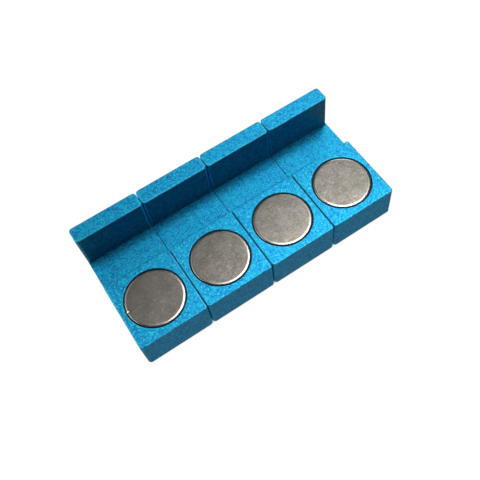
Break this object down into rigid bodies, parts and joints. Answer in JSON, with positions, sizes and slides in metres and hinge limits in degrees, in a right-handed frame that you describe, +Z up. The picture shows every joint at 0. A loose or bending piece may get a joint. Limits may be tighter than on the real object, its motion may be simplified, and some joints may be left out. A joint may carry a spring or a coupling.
{
  "type": "welding magnet holder",
  "caption": "Row of L-shaped blue anodised blocks, each with an upright fence, a sunk ledge and a raised pad that carries a flush disc magnet, for holding steel parts while welding.",
  "frame": {"origin": "middle of the row's footprint, on the surface it stands on", "axes": "+X along the row, +Y from the pads towards the fences, +Z up"},
  "size_m": [0.0998, 0.045, 0.025],
  "materials": {
    "blue_anodised": "bead-blasted, cyan-blue anodised, satin",
    "nickel_plate": "tumbled nickel plate, warm grey satin with fine scratches",
    "cured_adhesive": "dark cured adhesive, dull"
  },
  "bodies": {
    "holder_1": {"holder_body_1": "blue_anodised", "disc_magnet_1": "nickel_plate", "bond_1": "cured_adhesive"},
    "holder_2": {"holder_body_2": "blue_anodised", "disc_magnet_2": "nickel_plate", "bond_2": "cured_adhesive"},
    "holder_3": {"holder_body_3": "blue_anodised", "disc_magnet_3": "nickel_plate", "bond_3": "cured_adhesive"},
    "holder_4": {"holder_body_4": "blue_anodised", "disc_magnet_4": "nickel_plate", "bond_4": "cured_adhesive"}
  },
  "joints": [
    {"name": "holder_2_part_from_row", "type": "slide", "parent": "holder_1", "child": "holder_2", "axis": [1, 0, 0], "range_m": [0, 0.05]},
    {"name": "holder_3_part_from_row", "type": "slide", "parent": "holder_2", "child": "holder_3", "axis": [1, 0, 0], "range_m": [0, 0.05]},
    {"name": "holder_4_part_from_row", "type": "slide", "parent": "holder_3", "child": "holder_4", "axis": [1, 0, 0], "range_m": [0, 0.05]}
  ]
}
